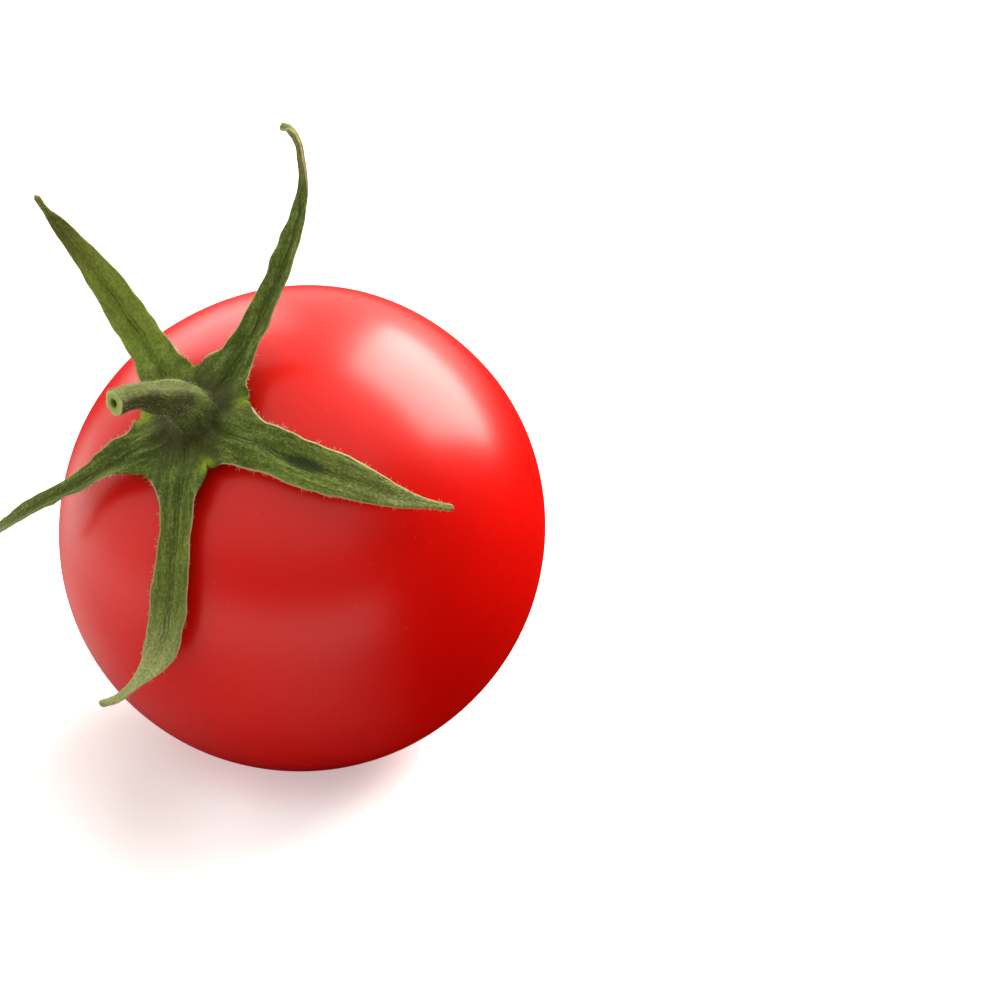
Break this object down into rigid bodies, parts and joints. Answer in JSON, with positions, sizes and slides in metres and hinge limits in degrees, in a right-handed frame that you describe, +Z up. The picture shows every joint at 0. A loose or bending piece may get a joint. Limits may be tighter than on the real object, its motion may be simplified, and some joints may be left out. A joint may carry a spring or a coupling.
{
  "type": "cherry tomato",
  "caption": "Ripe red cherry tomato lying on its side, with a green calyx of lance-shaped sepals, some curling up, and a short bent stub of cut stem.",
  "frame": {"origin": "middle of the small patch of skin, pressed flat, that the fruit rests on", "axes": "+Z up from the table. The stem axis leans 38 degrees from upright, towards a direction 232 degrees counter-clockwise from +X, so the calyx faces -X and -Y"},
  "size_m": [0.0424, 0.0377, 0.0523],
  "materials": {
    "tomato_skin": "smooth glossy ripe skin with fine golden specks",
    "calyx_green": "dull, downy dark green leaf tissue",
    "sepal_green": "soft green leaf with creases, darker midrib and pale hairs at the edges",
    "stem_green": "downy green stem with a pale moist cut end"
  },
  "bodies": {
    "root": {"fruit": "tomato_skin", "calyx_base": "calyx_green", "stem": "stem_green", "sepal_upper_left": "sepal_green", "sepal_left": "sepal_green", "sepal_lower": "sepal_green", "sepal_right": "sepal_green", "sepal_upper_right": "sepal_green"}
  },
  "joints": []
}
